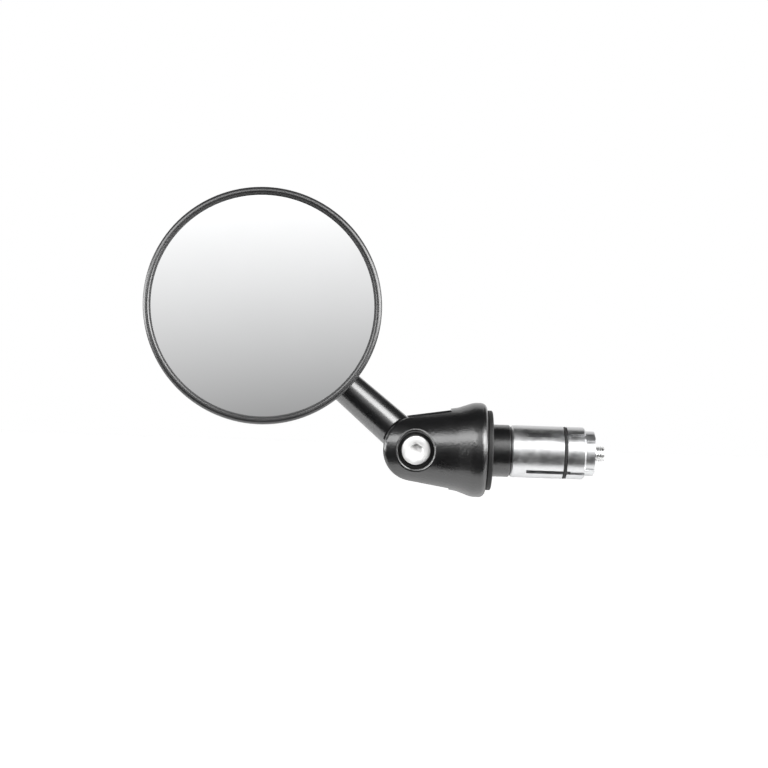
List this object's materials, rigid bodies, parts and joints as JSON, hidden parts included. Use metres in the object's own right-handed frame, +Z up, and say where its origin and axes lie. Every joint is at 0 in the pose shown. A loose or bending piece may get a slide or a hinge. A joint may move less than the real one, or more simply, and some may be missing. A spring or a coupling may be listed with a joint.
{
  "type": "motorcycle bar end mirror",
  "caption": "Round convex mirror with a ball-jointed head on a folding stem, fixed in the end of a handlebar by an expanding plug behind a coned body.",
  "frame": {"origin": "centre of the handlebar's end face, on the axis of the plug", "axes": "+X runs into the handlebar along the plug, +Z is up, the mirror looks towards -Y"},
  "size_m": [0.1489, 0.0401, 0.0977],
  "materials": {
    "satin_black": "satin, finely grained black paint",
    "smooth_black": "smooth satin black paint",
    "dark_anodised": "satin dark grey anodising",
    "silvered_glass": "polished, silvered on the back",
    "black_rubber": "matt",
    "foam_tape": "matt foam",
    "stainless": "bright, turned",
    "nylon": "plain nylon",
    "bronze": "plain bearing bronze",
    "plain_aluminium": "turned, bare"
  },
  "bodies": {
    "bar_end": {"bar_end_body": "satin_black", "bar_end_washer": "black_rubber", "pivot_screw": "stainless", "pivot_nut": "stainless", "friction_washer_front": "nylon", "friction_washer_rear": "nylon", "expander_sleeve": "plain_aluminium", "sleeve_ring": "black_rubber", "draw_bolt_washer": "stainless"},
    "stem": {"mirror_stem": "smooth_black", "pivot_bush": "bronze"},
    "ball_seat": {"inner_ball_seat": "nylon", "outer_ball_seat": "nylon"},
    "head": {"mirror_housing": "dark_anodised", "bezel_ring": "dark_anodised", "mirror_glass": "silvered_glass", "glass_tape_ring": "foam_tape", "seat_spring": "stainless", "gland_nut": "smooth_black"},
    "draw_bolt": {"draw_bolt": "stainless"},
    "cone_nut": {"cone_nut": "plain_aluminium"}
  },
  "joints": [
    {"name": "stem_fold", "type": "hinge", "parent": "bar_end", "child": "stem", "pos_m": [-0.0247, 0, 0], "axis": [0, 1, 0], "range_deg": [-112, 32]},
    {"name": "head_tilt", "type": "hinge", "parent": "stem", "child": "ball_seat", "pos_m": [-0.07632, 0, 0.04271], "axis": [0.6277, 0.1736, 0.7588], "range_deg": [-10, 10]},
    {"name": "head_swivel", "type": "hinge", "parent": "ball_seat", "child": "head", "pos_m": [-0.07632, 0, 0.04271], "axis": [-0.7705, 0, 0.6374], "continuous": true},
    {"name": "cone_slide", "type": "slide", "parent": "bar_end", "child": "cone_nut", "axis": [1, 0, 0], "range_m": [0, 0.004]},
    {"name": "draw_bolt_turn", "type": "hinge", "parent": "bar_end", "child": "draw_bolt", "pos_m": [0, 0, 0], "axis": [-1, 0, 0], "range_deg": [0, 1805]}
  ],
  "couplings": [
    {"joint": "draw_bolt_turn", "follows": "cone_slide", "rad_per_m": 7854}
  ]
}
